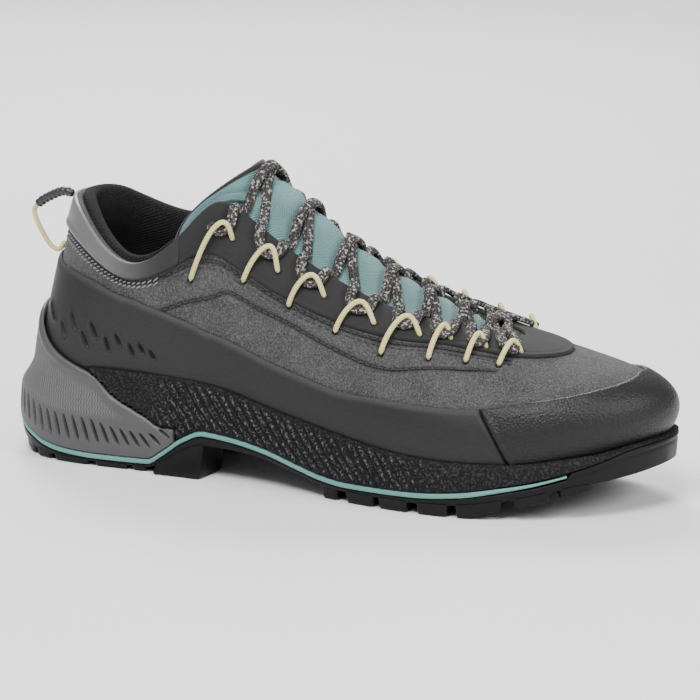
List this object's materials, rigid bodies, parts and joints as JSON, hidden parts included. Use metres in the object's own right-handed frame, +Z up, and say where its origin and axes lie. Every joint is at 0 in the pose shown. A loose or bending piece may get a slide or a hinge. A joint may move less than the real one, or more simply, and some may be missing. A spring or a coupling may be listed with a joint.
{
  "type": "approach shoe",
  "caption": "Low lace-up approach shoe for the right foot: suede upper, moulded rand, toe cap, corded lace loops, heel cradle and lugged sole.",
  "frame": {"origin": "the flat spot under the heel, on the floor", "axes": "+X from heel to toe, +Y towards the inner side of the foot, +Z up"},
  "size_m": [0.2701, 0.0937, 0.1183],
  "materials": {
    "outsole_rubber": "matte moulded rubber",
    "stripe_foam": "matte teal foam edge",
    "midsole_foam": "textured moulded foam",
    "cradle_plastic": "satin moulded plastic",
    "suede": "brushed grey suede",
    "rand_plastic": "smooth matte film",
    "cap_rubber": "finely pebbled rubber",
    "facing_fabric": "brushed microfibre",
    "panel_plastic": "satin coated fabric",
    "lining_knit": "open knit",
    "insole_foam": "fabric over foam",
    "tongue_fabric": "woven teal fabric",
    "lace_cord": "woven round lace",
    "loop_cord": "smooth pale yellow cord",
    "pull_sleeve": "satin wrapped tube"
  },
  "bodies": {
    "root": {"outsole": "outsole_rubber", "side_stripe": "stripe_foam", "midsole": "midsole_foam", "heel_cradle": "cradle_plastic", "upper": "suede", "rand": "rand_plastic", "toe_cap": "cap_rubber", "facing": "facing_fabric", "collar_panel": "panel_plastic", "collar_lining": "lining_knit", "insole": "insole_foam", "tongue": "tongue_fabric", "laces": "lace_cord", "lace_loop_outer_1": "loop_cord", "lace_loop_outer_2": "loop_cord", "lace_loop_outer_3": "loop_cord", "lace_loop_outer_4": "loop_cord", "lace_loop_outer_5": "loop_cord", "lace_loop_outer_6": "loop_cord", "lace_loop_outer_7": "loop_cord", "lace_loop_outer_8": "loop_cord", "lace_loop_inner_1": "loop_cord", "lace_loop_inner_2": "loop_cord", "lace_loop_inner_3": "loop_cord", "lace_loop_inner_4": "loop_cord", "lace_loop_inner_5": "loop_cord", "lace_loop_inner_6": "loop_cord", "lace_loop_inner_7": "loop_cord", "lace_loop_inner_8": "loop_cord", "pull_cord": "loop_cord", "pull_sleeve": "pull_sleeve"}
  },
  "joints": []
}
